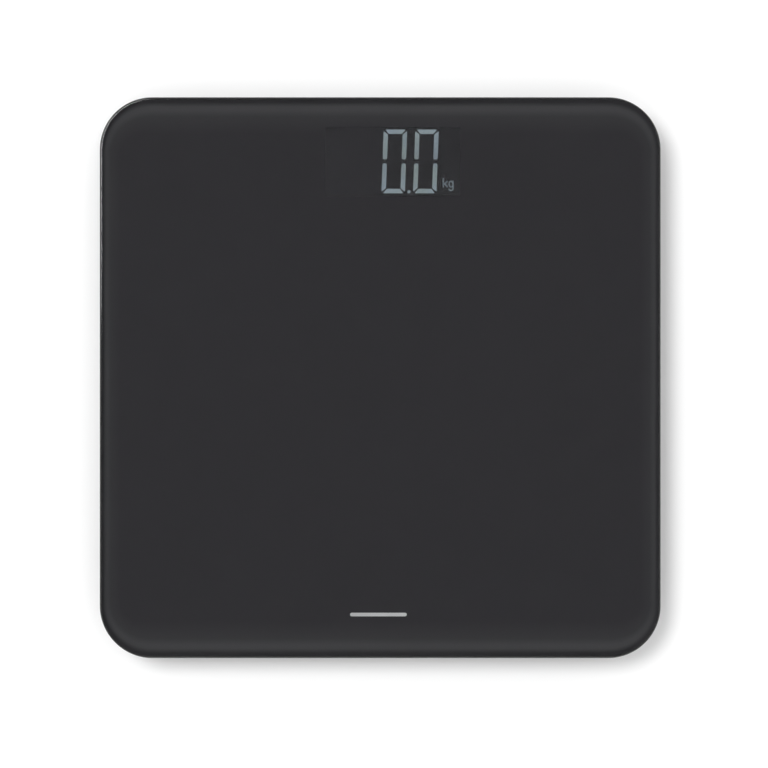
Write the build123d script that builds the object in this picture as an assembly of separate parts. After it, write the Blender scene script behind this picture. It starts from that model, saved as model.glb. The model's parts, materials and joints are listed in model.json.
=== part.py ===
from build123d import *
import os
from math import asin, degrees, hypot

# Digital bathroom scale: a tempered glass platform on a two-part plastic housing, with four weighing feet.
#
# Units are millimetres. The origin is the centre of the footprint at floor level. +Z is up, +Y points to
# the display end (the front), and +X is to the right of a person who stands on the scale and reads it.
# The stack, from the floor up: rubber foot pads, bottom cover, upper housing, foam tape, ink layer, glass.
# Each foot carries the scale through a steel load cell whose tongue bends when someone stands on it.

# ---------------------------------------------------------------- driving dimensions

PLATE = 310.0  # side of the square glass platform
PLATE_R = 29.0  # its corner radius in plan
HEIGHT = 25.0  # floor to standing surface
GLASS_T = 6.0
EDGE_R = 1.3  # rounding of the glass edge at the standing surface
EDGE_LOW_R = 0.5  # and at its underside
INK_T = 0.1  # ceramic ink on the underside of the glass
INK_INSET = 0.6  # glass edge to ink edge
TAPE_T = 0.5  # double-sided foam tape between ink and housing
TAPE_INSET = 3.0  # housing wall to the tape ring
TAPE_W = 10.0
TAPE_PAD_R = 17.0  # a tape disc over each load cell

BASE = 294.0  # side of the housing, set back under the glass
BASE_R = 23.0
COVER_INSET = 0.5  # the bottom cover stands back from the housing wall and leaves a fine shadow line
WALL = 2.2
DECK_T = 2.0
DECK_EDGE = 0.6  # chamfer round the top of the housing
COVER_T = 2.0
COVER_EDGE_R = 1.2
LIP_H, LIP_T = 2.4, 1.4  # locating lip of the bottom cover, inside the housing wall
RING_H = 2.6  # height of the collar round each foot inside the cover
FOOT_GAP = 3.6  # floor to the underside of the bottom cover

# Levels, worked out from the stack
Z_GLASS = HEIGHT - GLASS_T
Z_INK = Z_GLASS - INK_T
Z_DECK_TOP = Z_INK - TAPE_T
Z_DECK = Z_DECK_TOP - DECK_T
Z_COVER = FOOT_GAP
Z_COVER_TOP = FOOT_GAP + COVER_T
CLEAR = 0.3  # running clearance between pieces that move past each other
SNUG = 0.2  # assembly clearance between pieces that stay put

# Display, read through a window in the ink
DISPLAY_X = 7.0
DISPLAY_Y = 119.6
LCD_W, LCD_D = 80.0, 42.0
VIEW_W, VIEW_D = 75.0, 38.6
LEDGE = 4.0  # strip of the front glass that carries the contacts
CELL_GLASS_T = 1.1
POLARISER_T = 0.2
Z_LCD_TOP = Z_DECK_TOP + 0.1
Z_FRONT_GLASS = Z_LCD_TOP - POLARISER_T - CELL_GLASS_T
Z_REAR_GLASS = Z_FRONT_GLASS - CELL_GLASS_T
Z_LCD = Z_REAR_GLASS - POLARISER_T
SEGMENT_T = 0.06

# Seven-segment digits
DIGIT_W, DIGIT_H = 13.0, 35.3
DIGIT_PITCH = 17.5
DIGIT_X, DIGIT_Y = 0.65, 102.2  # lower left corner of the first digit
STROKE = 2.45
SLANT = 0.037  # sideways lean per unit of height
POINT_R = 0.85  # decimal point
UNIT_X, UNIT_Y = 34.6, 105.4  # lower left corner of the unit

# Printed bar near the rear edge
MARK_X, MARK_Y = -1.0, -131.2
MARK_W, MARK_H = 31.4, 2.0

# Circuit board
BOARD_W, BOARD_D, BOARD_T = 100.0, 52.6, 1.6
BOARD_X, BOARD_Y = DISPLAY_X, 116.3
Z_BOARD = 11.2
Z_BOARD_TOP = Z_BOARD + BOARD_T
BOARD_SCREWS = [(x, y) for x in (BOARD_X - 46.7, BOARD_X + 46.7) for y in (101.0, 138.0)]
BOARD_BOSS_R, BOARD_PILOT_R = 2.5, 1.0

# Feet and load cells, one near each corner
FOOT_XY = 113.0
FOOT_R = 20.0
FLANGE_R = 22.5
PAD_R = 17.5
PAD_T = 3.2
PAD_SHOWS = 1.6  # how far the rubber stands below its plate
FOOT_PLAY = 0.4  # how far a foot drops when the scale is lifted
FLANGE_T = 1.2
POST_R = 4.5
CELL = 34.0
CELL_T = 2.6
Z_CELL = 9.6
Z_CELL_TOP = Z_CELL + CELL_T
CONTACT_GAP = 0.05  # between the foot's post and the tongue it presses
Z_FLANGE = Z_COVER_TOP + FOOT_PLAY + CONTACT_GAP
CORNERS = {
    "front_left": (-1, 1),
    "front_right": (1, 1),
    "rear_left": (-1, -1),
    "rear_right": (1, -1),
}

# Battery compartment for three AAA cells, side by side along X
AAA_R, AAA_L = 5.25, 44.5
NUB_R, NUB_L = 1.9, 0.9
BATTERY_Y = 20.0
BATTERY_PITCH = 11.2
BATTERY_Z = Z_COVER_TOP + 0.15 + AAA_R
BOX_X = 25.5  # half length inside
BOX_Y = 17.1  # half width inside
BOX_WALL = 1.6
CONTACT_T = 0.4
CONTACT_X = BOX_X - 0.1 - CONTACT_T
BATTERY_ROWS = [
    (BATTERY_Y - BATTERY_PITCH, 1),
    (BATTERY_Y, -1),
    (BATTERY_Y + BATTERY_PITCH, 1),
]

# Battery door, hinged along its front edge
HINGE_Y = 40.6
HINGE_Z = 5.1
KNUCKLE_R = 1.5
HINGE_GAP = 0.6  # between the knuckle and the front of the opening, so the door can swing past square
PIN_R, PIN_CLEAR, PIN_L = 0.8, 0.06, 2.0
DOOR_X = 27.0  # half width
DOOR_REAR = -1.7
LATCH_W, LATCH_T, LATCH_H = 12.0, 1.2, 3.4
BEAD_R = 0.3  # snap bead along the back of the latch

# Unit button under the board
BUTTON_X, BUTTON_Y = 40.0, 108.0
BUTTON_R = 4.2
SWITCH_BODY, SWITCH_H = 6.0, 3.3
PLUNGER_R = 1.7
Z_SWITCH = Z_BOARD - SWITCH_H
Z_PLUNGER = Z_SWITCH - 1.0

# Fasteners for the bottom cover
COVER_SCREWS = [(sx * a, sy * b) for a, b in ((70, 136), (136, 70)) for sx in (-1, 1) for sy in (-1, 1)]
BOSS_R = 3.8
CUP_H = 1.8  # how far the cover's screw cups rise
HEAD_R, HEAD_H = 2.8, 1.8
SCREW_R = 1.4
PILOT_R = 1.45
SCREW_L = 8.6

# Wiring: thin leads that lie in one plane above the board
WIRE_R = 0.5
WIRE_PITCH = 1.3
WIRE_Z = Z_BOARD_TOP + WIRE_R + 0.05
WIRE_RUN_X = 73.0  # how far from the middle the rear leads run forward
SEAL_T = 2.0  # silicone bead over a cell's strain gauge
SEAL_L = 9.0
SEAL_END = 11.0  # cell centre to the end of the bead, where the leads leave it
CLIP_Y = (-86.0, -34.0, 62.0)  # clips that hold the rear leads to the deck
RIB_H, RIB_T = 2.0, 1.6
RIB_PITCH = 29.0

# Surface details of the underside
TRIM_INSET = 6.0  # housing wall to the fine groove that runs round the cover
TRIM_W, TRIM_DEPTH = 1.0, 0.4
FOOT_GROOVE_W, FOOT_GROOVE_DEPTH = 1.0, 0.5
LABEL_W, LABEL_D, LABEL_DEPTH = 80.0, 34.0, 0.3
LABEL_Y = -62.0
SCOOP_R, SCOOP_DEPTH = 22.0, 1.3


# ---------------------------------------------------------------- helpers


def slab(width, depth, radius, low, high, x=0.0, y=0.0):
    """A rounded rectangle in plan, from level low to level high."""
    outline = Plane.XY.offset(low) * Pos(x, y) * RectangleRounded(width, depth, radius)
    return extrude(outline, high - low)


def block(x0, x1, y0, y1, z0, z1):
    """A box given by its limits."""
    centre = Pos((x0 + x1) / 2, (y0 + y1) / 2, (z0 + z1) / 2)
    return centre * Box(x1 - x0, y1 - y0, z1 - z0)


def disc(radius, low, high, x=0.0, y=0.0):
    """An upright cylinder from level low to level high."""
    return Pos(x, y, (low + high) / 2) * Cylinder(radius, high - low)


def tube(outer, inner, low, high, x=0.0, y=0.0):
    return disc(outer, low, high, x, y) - disc(inner, low - 1, high + 1, x, y)


def rods_along_x(radius, x0, x1, y, z):
    return Pos((x0 + x1) / 2, y, z) * Rot(0, 90, 0) * Cylinder(radius, x1 - x0)


def at_corner(sx, sy):
    """Places a foot or cell made for the left side. On the right side it is turned half round."""
    return Pos(sx * FOOT_XY, sy * FOOT_XY) * Rot(0, 0, 0 if sx < 0 else 180)


def side_route(points, shift):
    """The polyline moved sideways by shift, with its corners mitred."""
    moved = []
    for i, (x, y) in enumerate(points):
        ways = []
        if i > 0:
            ways.append((x - points[i - 1][0], y - points[i - 1][1]))
        if i < len(points) - 1:
            ways.append((points[i + 1][0] - x, points[i + 1][1] - y))
        normals = [(-dy / hypot(dx, dy), dx / hypot(dx, dy)) for dx, dy in ways]
        nx = sum(n[0] for n in normals)
        ny = sum(n[1] for n in normals)
        scale = shift * len(normals) / (nx * nx + ny * ny)
        moved.append((x + nx * scale, y + ny * scale))
    return moved


def wire(points, bend):
    """A lead along the points in the wiring plane, with every corner rounded."""
    path = FilletPolyline(*[(x, y, WIRE_Z) for x, y in points], radius=bend)
    return sweep(Plane(origin=path @ 0, z_dir=path % 0) * Circle(WIRE_R), path=path)


def stroke(start, end, width):
    """A straight line of a glyph, as a rectangle with square ends."""
    (x0, y0), (x1, y1) = start, end
    length = hypot(x1 - x0, y1 - y0)
    angle = degrees(asin((y1 - y0) / length))
    return Pos((x0 + x1) / 2, (y0 + y1) / 2) * Rot(0, 0, angle) * Rectangle(length, width)


# ---------------------------------------------------------------- platform


def glass_platform():
    plate = slab(PLATE, PLATE, PLATE_R, Z_GLASS, HEIGHT)
    plate = fillet(plate.edges().group_by(Axis.Z)[-1], EDGE_R)
    return fillet(plate.edges().group_by(Axis.Z)[0], EDGE_LOW_R)


def window_outline(grow=0.0):
    return Pos(DISPLAY_X, DISPLAY_Y) * RectangleRounded(VIEW_W + grow, VIEW_D + grow, 1.5)


def mark_outline(grow=0.0):
    return Pos(MARK_X, MARK_Y) * SlotOverall(MARK_W + grow, MARK_H + grow)


def ink_layer(outline):
    return extrude(Plane.XY.offset(Z_INK) * outline, INK_T)


def back_print():
    side = PLATE - 2 * INK_INSET
    ink = slab(side, side, PLATE_R - INK_INSET, Z_INK, Z_GLASS)
    openings = window_outline() + mark_outline()
    return ink - extrude(Plane.XY.offset(Z_INK - 1) * openings, 2)


def printed_mark():
    return ink_layer(mark_outline())


def display_window():
    return ink_layer(window_outline())


def glass_tape():
    side, radius = BASE - 2 * TAPE_INSET, BASE_R - TAPE_INSET
    ring = slab(side, side, radius, Z_DECK_TOP, Z_INK)
    ring -= slab(side - 2 * TAPE_W, side - 2 * TAPE_W, radius - TAPE_W, Z_DECK_TOP - 1, Z_INK + 1)
    lcd_gap = slab(LCD_W + 4, LCD_D + 4, 2, Z_DECK_TOP - 1, Z_INK + 1, DISPLAY_X, DISPLAY_Y)
    pads = [disc(TAPE_PAD_R, Z_DECK_TOP, Z_INK, sx * FOOT_XY, sy * FOOT_XY) for sx, sy in CORNERS.values()]
    return Compound(children=[ring - lcd_gap, *pads])


# ---------------------------------------------------------------- housing


def deck_ribs():
    """A shallow grid under the deck, left out where the cells, the board and the batteries sit."""
    half = BASE / 2 - WALL
    lines = [RIB_PITCH * k for k in range(-4, 5)]
    grid = [block(a - RIB_T / 2, a + RIB_T / 2, -half, half, Z_DECK - RIB_H, Z_DECK) for a in lines]
    grid += [block(-half, half, a - RIB_T / 2, a + RIB_T / 2, Z_DECK - RIB_H, Z_DECK) for a in lines]
    low, high = Z_DECK - RIB_H - 1, Z_DECK
    board_x, board_y = BOARD_W / 2 + 4, BOARD_D / 2 + 2.7
    room = [
        block(BOARD_X - board_x, BOARD_X + board_x, BOARD_Y - board_y, half - 0.5, low, high),
        block(-BOX_X, BOX_X, BATTERY_Y - BOX_Y, BATTERY_Y + BOX_Y, low, high),
    ]
    for sx, sy in CORNERS.values():
        room.append(at_corner(sx, sy) * block(-CELL / 2, CELL / 2, -CELL / 2, CELL / 2, low, high))
    ribs = grid[0].fuse(*grid[1:])
    return ribs.cut(*room)


def cell_pocket():
    """The seat of one load cell on the deck, open towards the middle of the scale for its leads."""
    reach = CELL / 2 + SNUG
    outside = 2 * reach + 3.2
    rim = slab(outside, outside, 4.6, Z_CELL - 0.1, Z_DECK)
    rim -= slab(2 * reach, 2 * reach, 3.2, Z_CELL - 1, Z_CELL_TOP)
    rim -= slab(CELL - 7, CELL - 7, 2, Z_CELL - 1, Z_DECK)
    rim -= block(6, reach + 4, -6, 6, Z_CELL - 1, Z_DECK)
    hooks = [
        block(-4, 4, side * (reach - 1.0) - 1.6, side * (reach - 1.0) + 1.6, Z_CELL - 1.2, Z_CELL - 0.1)
        & slab(outside, outside, 4.6, Z_CELL - 2, Z_CELL)
        for side in (-1, 1)
    ]
    return rim.fuse(*hooks)


def battery_walls():
    """The four walls of the battery box under the deck, with slots for the two end tabs."""
    outer = block(
        -BOX_X - BOX_WALL,
        BOX_X + BOX_WALL,
        BATTERY_Y - BOX_Y - BOX_WALL,
        BATTERY_Y + BOX_Y + BOX_WALL,
        Z_COVER_TOP + 0.4,
        Z_DECK,
    )
    inner = block(-BOX_X, BOX_X, BATTERY_Y - BOX_Y, BATTERY_Y + BOX_Y, Z_COVER_TOP, Z_DECK)
    return outer - inner - tab_room()


def tab_room():
    """Slots in the box's end walls for the solder tabs of the two outer contacts."""
    slots = [
        block(
            side * (BOX_X + BOX_WALL / 2) - BOX_WALL,
            side * (BOX_X + BOX_WALL / 2) + BOX_WALL,
            y - 1.9,
            y + 1.9,
            WIRE_Z - WIRE_R - 1.0,
            WIRE_Z + WIRE_R + 0.4,
        )
        for side, y in tab_places()
    ]
    return slots[0] + slots[1]


def tab_places():
    """Side and row of the two contacts that carry the leads: minus at the left, plus at the right."""
    return [(-1, BATTERY_ROWS[0][0]), (1, BATTERY_ROWS[2][0])]


def wire_clips():
    """Small hooks under the deck, one leg each, that hold the two long bundles of leads."""
    bundle = WIRE_PITCH + WIRE_R + SNUG
    clips = []
    for side in (-1, 1):
        for y in CLIP_Y:
            low = WIRE_Z - WIRE_R - SNUG
            leg = block(bundle, bundle + 1.6, y - 3, y + 3, low - 1.2, Z_DECK)
            toe = block(-1.0, bundle + 1.6, y - 3, y + 3, low - 1.2, low)
            clips += [Pos(side * WIRE_RUN_X, 0) * part for part in (leg, toe)]
    return clips


def upper_housing():
    shell = slab(BASE, BASE, BASE_R, Z_COVER_TOP, Z_DECK_TOP)
    shell = chamfer(shell.edges().group_by(Axis.Z)[-1], DECK_EDGE)
    shell -= slab(BASE - 2 * WALL, BASE - 2 * WALL, BASE_R - WALL, Z_COVER_TOP - 1, Z_DECK)
    added = [deck_ribs(), battery_walls(), *wire_clips()]
    added += [at_corner(sx, sy) * cell_pocket() for sx, sy in CORNERS.values()]
    added += [disc(BOSS_R, Z_COVER_TOP + CUP_H, Z_DECK, x, y) for x, y in COVER_SCREWS]
    added += [disc(BOARD_BOSS_R, Z_BOARD_TOP, Z_DECK, x, y) for x, y in BOARD_SCREWS]
    shell = shell.fuse(*added)
    removed = [slab(LCD_W + 0.8, LCD_D + 0.8, 1, Z_DECK - 1, HEIGHT, DISPLAY_X, DISPLAY_Y)]
    removed += [disc(PILOT_R, Z_COVER_TOP, Z_COVER_TOP + CUP_H + SCREW_L, x, y) for x, y in COVER_SCREWS]
    removed += [disc(BOARD_PILOT_R, Z_BOARD_TOP - 1, Z_DECK, x, y) for x, y in BOARD_SCREWS]
    return shell.cut(*removed)


def door_opening():
    """The hole in the bottom cover for the battery door."""
    return block(
        -DOOR_X - CLEAR,
        DOOR_X + CLEAR,
        DOOR_REAR - CLEAR,
        HINGE_Y + KNUCKLE_R + HINGE_GAP,
        Z_COVER - 1,
        Z_COVER_TOP + 2,
    )


def hinge_ears():
    """Thicker lands beside the opening, bored for the door's pins."""
    ears = []
    for side in (-1, 1):
        middle = side * (DOOR_X + CLEAR + 2.0)
        ear = block(middle - 2, middle + 2, HINGE_Y - 3, HINGE_Y + 3, Z_COVER_TOP - 0.5, Z_COVER_TOP + 1.5)
        ears.append(ear)
    return ears


def pin_bores():
    reach = DOOR_X + PIN_L + CLEAR
    return rods_along_x(PIN_R + PIN_CLEAR, -reach, reach, HINGE_Y, HINGE_Z)


def finger_scoop():
    """A shallow dished notch beside the door latch, for a fingertip."""
    return Pos(0, DOOR_REAR, Z_COVER - SCOOP_R + SCOOP_DEPTH) * Sphere(SCOOP_R)


def label_recess():
    """A shallow blank panel for the rating label."""
    return slab(LABEL_W, LABEL_D, 2, Z_COVER - 1, Z_COVER + LABEL_DEPTH, 0, LABEL_Y)


def trim_groove():
    """A fine groove that runs round the underside, inside the edge."""
    side, radius = BASE - 2 * TRIM_INSET, BASE_R - TRIM_INSET
    outer = slab(side, side, radius, Z_COVER - 1, Z_COVER + TRIM_DEPTH)
    return outer - slab(side - 2 * TRIM_W, side - 2 * TRIM_W, radius - TRIM_W, Z_COVER - 2, Z_COVER + 1)


def bottom_cover():
    side = BASE - 2 * COVER_INSET
    plate = slab(side, side, BASE_R - COVER_INSET, Z_COVER, Z_COVER_TOP)
    plate = fillet(plate.edges().group_by(Axis.Z)[0], COVER_EDGE_R)
    lip_side, lip_r = BASE - 2 * WALL - 2 * SNUG, BASE_R - WALL - SNUG
    inside = lip_side - 2 * LIP_T
    lip = slab(lip_side, lip_side, lip_r, Z_COVER_TOP, Z_COVER_TOP + LIP_H)
    lip -= slab(inside, inside, lip_r - LIP_T, Z_COVER_TOP - 1, Z_COVER_TOP + LIP_H + 1)
    added = [lip, *hinge_ears()]
    added += [disc(BOSS_R + 1.2, Z_COVER_TOP - 0.5, Z_COVER_TOP + CUP_H, x, y) for x, y in COVER_SCREWS]
    removed = [door_opening(), pin_bores(), finger_scoop(), label_recess(), trim_groove()]
    for sx, sy in CORNERS.values():
        x, y = sx * FOOT_XY, sy * FOOT_XY
        added.append(tube(FLANGE_R + 2.0, FLANGE_R + CLEAR, Z_COVER_TOP - 0.5, Z_COVER_TOP + RING_H, x, y))
        removed.append(disc(FOOT_R + 0.5, Z_COVER - 1, Z_COVER_TOP + 1, x, y))
        groove_r = FOOT_R + 3.5
        groove_top = Z_COVER + FOOT_GROOVE_DEPTH
        removed.append(tube(groove_r + FOOT_GROOVE_W, groove_r, Z_COVER - 1, groove_top, x, y))
    for x, y in COVER_SCREWS:
        removed.append(disc(HEAD_R + SNUG, Z_COVER - 1, Z_COVER_TOP, x, y))
        removed.append(disc(SCREW_R + SNUG, Z_COVER - 1, Z_COVER_TOP + CUP_H + 1, x, y))
    removed.append(disc(BUTTON_R + CLEAR, Z_COVER - 1, Z_COVER_TOP + 1, BUTTON_X, BUTTON_Y))
    return plate.fuse(*added).cut(*removed)


def screw(head_r, head_h, shank_r, length, teeth):
    """A pan-head thread-forming screw, head down, with ring threads and a cross recess. Head top at z=0."""
    profile = [(0, -head_h), (head_r * 0.55, -head_h), (head_r, -head_h * 0.55), (head_r, 0), (shank_r, 0)]
    root = shank_r * 0.76
    pitch = (length - 1.6) / teeth
    for k in range(teeth):
        start = 0.4 + k * pitch
        profile += [(root, start), (shank_r, start + pitch / 2)]
    profile += [(root, length - 1.0), (0.2, length), (0, length)]
    turned = revolve(Plane.XZ * make_face(Polyline(*profile, close=True)), Axis.Z)
    slot = Box(head_r * 1.15, 0.55, head_h) + Box(0.55, head_r * 1.15, head_h)
    return turned - Pos(0, 0, -head_h) * slot


def cover_screws():
    one = screw(HEAD_R, HEAD_H, SCREW_R, SCREW_L, 8)
    return Compound(children=[Pos(x, y, Z_COVER_TOP) * one for x, y in COVER_SCREWS])


def board_screws():
    one = screw(1.8, 1.2, 0.95, 4.8, 6)
    return Compound(children=[Pos(x, y, Z_BOARD) * one for x, y in BOARD_SCREWS])


# ---------------------------------------------------------------- feet and load cells


def load_cell():
    """A stamped steel cell: a square frame with a tongue that bends, its root towards the leads."""
    plate = slab(CELL, CELL, 3, Z_CELL, Z_CELL_TOP)
    gap = block(-10.4, 9.0, -8.4, 8.4, Z_CELL - 1, Z_CELL_TOP + 1)
    tongue = block(-8.0, 10.0, -6.0, 6.0, Z_CELL, Z_CELL_TOP)
    waist = [disc(2.0, Z_CELL - 1, Z_CELL_TOP + 1, 7.0, side * 8.4) for side in (1, -1)]
    return (plate - gap + tongue).cut(*waist)


def strain_gauge_seal():
    """The bead of silicone over the gauge at the root of the tongue."""
    bead = slab(SEAL_L, 9.5, 2, Z_CELL_TOP, Z_CELL_TOP + SEAL_T, SEAL_END - SEAL_L / 2)
    return fillet(bead.edges().group_by(Axis.Z)[-1], 0.7)


def foot_plate():
    """The rigid part of a foot: a cup for the pad, a flange that stops it falling out, and a post."""
    cup = disc(FOOT_R, PAD_SHOWS, Z_FLANGE)
    cup = chamfer(cup.edges().group_by(Axis.Z)[0], 0.4)
    flange = disc(FLANGE_R, Z_FLANGE, Z_FLANGE + FLANGE_T)
    post = disc(POST_R, Z_FLANGE + FLANGE_T, Z_CELL - CONTACT_GAP)
    pocket = disc(PAD_R + 0.1, PAD_SHOWS - 1, PAD_T)
    return cup + flange + post - pocket


def foot_pad():
    """The rubber pad, with three shallow grip grooves."""
    pad = disc(PAD_R, 0, PAD_T)
    pad = fillet(pad.edges().group_by(Axis.Z)[0], 0.6)
    for radius in (5.5, 9.5, 13.5):
        pad -= tube(radius + 0.6, radius - 0.6, -1, 0.5)
    return pad


# ---------------------------------------------------------------- display


def lcd_front_glass():
    return slab(LCD_W, LCD_D, 0.4, Z_FRONT_GLASS, Z_FRONT_GLASS + CELL_GLASS_T, DISPLAY_X, DISPLAY_Y)


def lcd_rear_glass():
    y = DISPLAY_Y + LEDGE / 2
    return slab(LCD_W, LCD_D - LEDGE, 0.4, Z_REAR_GLASS, Z_FRONT_GLASS, DISPLAY_X, y)


def lcd_front_polariser():
    return slab(LCD_W - 1, LCD_D - 1, 0.4, Z_LCD_TOP - POLARISER_T, Z_LCD_TOP, DISPLAY_X, DISPLAY_Y)


def lcd_rear_polariser():
    y = DISPLAY_Y + LEDGE / 2
    return slab(LCD_W - 2, LCD_D - LEDGE - 2, 0.4, Z_LCD, Z_REAR_GLASS, DISPLAY_X, y)


def segment_outlines():
    """The six lit segments of a zero, as corner lists in an upright digit box."""
    w, h, t = DIGIT_W, DIGIT_H, STROKE
    outer, inner = 0.9, 0.4  # how far the mitred ends stand back at the outside and the inside
    middle = h / 2
    gap = 1.15  # half the space that the unlit middle segment leaves
    taper = 0.55
    top = [(outer, h), (w - outer, h), (w - t - inner, h - t), (t + inner, h - t)]
    left = [
        (0, h - outer),
        (t, h - t - inner),
        (t, middle + gap + taper),
        (t - taper, middle + gap),
        (taper, middle + gap),
        (0, middle + gap + taper),
    ]
    right = [(w - x, y) for x, y in left]
    upper = [top, left, right]
    lower = [[(x, h - y) for x, y in outline] for outline in upper]
    return upper + lower


def leaning(points, x, y):
    """Moves digit points to (x, y) and leans them to the right."""
    return [(px + x + SLANT * py, py + y) for px, py in points]


def unit_glyphs():
    """The letters of the unit, kg, as plain strokes."""
    pen = 0.75
    x, y = UNIT_X, UNIT_Y
    k = stroke((x + pen / 2, y), (x + pen / 2, y + 5.3), pen)
    k += stroke((x + 0.6, y + 1.5), (x + 2.75, y + 3.55), pen)
    k += stroke((x + 1.1, y + 2.1), (x + 2.75, y + 0.15), pen)
    gx = x + 4.6
    g = Pos(gx, y + 1.85) * (Ellipse(1.4, 1.95) - Ellipse(0.7, 1.2))
    g += stroke((gx + 1.1, y - 0.6), (gx + 1.1, y + 3.8), pen)
    g += Pos(gx, y - 0.6) * ((Circle(1.47) - Circle(0.73)) & Pos(0, -1) * Rectangle(4, 2))
    return [k, g]


def lcd_segments():
    plane = Plane.XY.offset(Z_LCD_TOP)
    lit = []
    for digit in range(2):
        for outline in segment_outlines():
            corners = leaning(outline, DIGIT_X + digit * DIGIT_PITCH, DIGIT_Y)
            face = make_face(Polyline(*corners, close=True))
            lit.append(fillet(face.vertices(), 0.25))
    lit.append(Pos(DIGIT_X + (DIGIT_W + DIGIT_PITCH) / 2, DIGIT_Y + 0.8) * Circle(POINT_R))
    lit += unit_glyphs()
    return Compound(children=[extrude(plane * face, SEGMENT_T) for face in lit])


def lcd_gasket():
    low, high = Z_LCD_TOP, Z_INK
    outer = slab(LCD_W - 0.4, LCD_D - 0.4, 1, low, high, DISPLAY_X, DISPLAY_Y)
    return outer - slab(VIEW_W + 0.8, VIEW_D + 0.8, 1, low - 1, high + 1, DISPLAY_X, DISPLAY_Y)


def lcd_holder():
    low, high = Z_BOARD_TOP, Z_DECK - 0.1
    outer = slab(LCD_W + 6, LCD_D + 4, 2, low, high, DISPLAY_X, DISPLAY_Y)
    return outer - slab(LCD_W + 0.6, LCD_D + 0.6, 1, low - 1, high + 1, DISPLAY_X, DISPLAY_Y)


def backlight_panel():
    left, right = DISPLAY_X - LCD_W / 2 + 2.2, DISPLAY_X + LCD_W / 2 - 0.2
    panel = block(left, right, DISPLAY_Y - 16.8, DISPLAY_Y + 20.6, Z_BOARD_TOP + 0.1, Z_LCD)
    return chamfer(panel.edges().group_by(Axis.Z)[-1], 0.3)


def backlight_leds():
    left = DISPLAY_X - LCD_W / 2
    return Compound(
        children=[
            block(left - 0.1, left + 2.0, y - 1.75, y + 1.75, Z_BOARD_TOP, Z_BOARD_TOP + 2.0)
            for y in (DISPLAY_Y - 9, DISPLAY_Y + 2, DISPLAY_Y + 13)
        ]
    )


def zebra_strip():
    y = DISPLAY_Y - LCD_D / 2 + 1.9
    return block(DISPLAY_X - 38, DISPLAY_X + 38, y - 1.0, y + 1.0, Z_BOARD_TOP, Z_FRONT_GLASS)


# ---------------------------------------------------------------- circuit board


def main_board():
    board = slab(BOARD_W, BOARD_D, 2, Z_BOARD, Z_BOARD_TOP, BOARD_X, BOARD_Y)
    holes = [disc(1.1, Z_BOARD - 1, Z_BOARD_TOP + 1, x, y) for x, y in BOARD_SCREWS]
    return board.cut(*holes)


def gull_legs(x, y, count, pitch, out, inward):
    """A row of chip legs along X, at distance out from the chip's centre line. inward is +1 or -1."""
    legs = []
    for k in range(count):
        lx = x + (k - (count - 1) / 2) * pitch
        foot = block(lx - 0.18, lx + 0.18, y + out - 0.8, y + out, Z_BOARD - 0.2, Z_BOARD)
        shin = block(lx - 0.18, lx + 0.18, y + out - 1.6, y + out - 0.6, Z_BOARD - 0.8, Z_BOARD)
        legs += [foot, shin]
    flip = Rot(0, 0, 0 if inward > 0 else 180)
    return [Pos(x, y) * flip * Pos(-x, -y) * leg for leg in legs]


def chip(x, y, width, depth, height, per_side, pitch, square):
    """A chip under the board, with legs on two sides, or on four if it is square."""
    body = block(x - width / 2, x + width / 2, y - depth / 2, y + depth / 2, Z_BOARD - height, Z_BOARD - 0.1)
    body = chamfer(body.edges().group_by(Axis.Z)[0], 0.2)
    legs = [leg for side in (1, -1) for leg in gull_legs(x, y, per_side, pitch, depth / 2 + 1, side)]
    if square:
        turn = Pos(x, y) * Rot(0, 0, 90) * Pos(-x, -y)
        legs += [turn * leg for leg in legs]
    low = Z_BOARD - height
    pin_one = disc(0.5, low - 1, low + 0.1, x - width / 2 + 1.2, y - depth / 2 + 1.2)
    return body.fuse(*legs) - pin_one


def microcontroller():
    return chip(BOARD_X - 19, BOARD_Y + 4, 10, 10, 1.5, 11, 0.8, True)


def converter_chip():
    return chip(BOARD_X + 7, BOARD_Y + 4, 10, 4, 1.6, 8, 1.27, False)


def crystal():
    can = slab(10.5, 4.2, 2.0, Z_BOARD - 3.4, Z_BOARD, BOARD_X - 19, BOARD_Y - 11)
    return fillet(can.edges().group_by(Axis.Z)[0], 0.5)


def chip_parts(places, length, width, height):
    """Small two-ended parts under the board."""
    return Compound(
        children=[
            block(x - length / 2, x + length / 2, y - width / 2, y + width / 2, Z_BOARD - height, Z_BOARD)
            for x, y in places
        ]
    )


def capacitors():
    places = [(BOARD_X - 34 + 4 * k, BOARD_Y + 18) for k in range(6)]
    places += [(BOARD_X + 7 + 4 * k, BOARD_Y - 8) for k in range(4)]
    return chip_parts(places, 2.0, 1.25, 1.2)


def resistors():
    places = [(BOARD_X + 2 + 4 * k, BOARD_Y + 18) for k in range(8)]
    places += [(BOARD_X - 32 + 4 * k, BOARD_Y - 18) for k in range(6)]
    return chip_parts(places, 2.0, 1.25, 0.6)


def unit_switch():
    """The square tact switch, with a bore for its plunger."""
    half = SWITCH_BODY / 2
    body = block(BUTTON_X - half, BUTTON_X + half, BUTTON_Y - half, BUTTON_Y + half, Z_SWITCH, Z_BOARD)
    return body - disc(PLUNGER_R + 0.1, Z_SWITCH - 1, Z_SWITCH + 2.2, BUTTON_X, BUTTON_Y)


def unit_switch_plunger():
    return disc(PLUNGER_R, Z_PLUNGER, Z_SWITCH + 1.4, BUTTON_X, BUTTON_Y)


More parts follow.
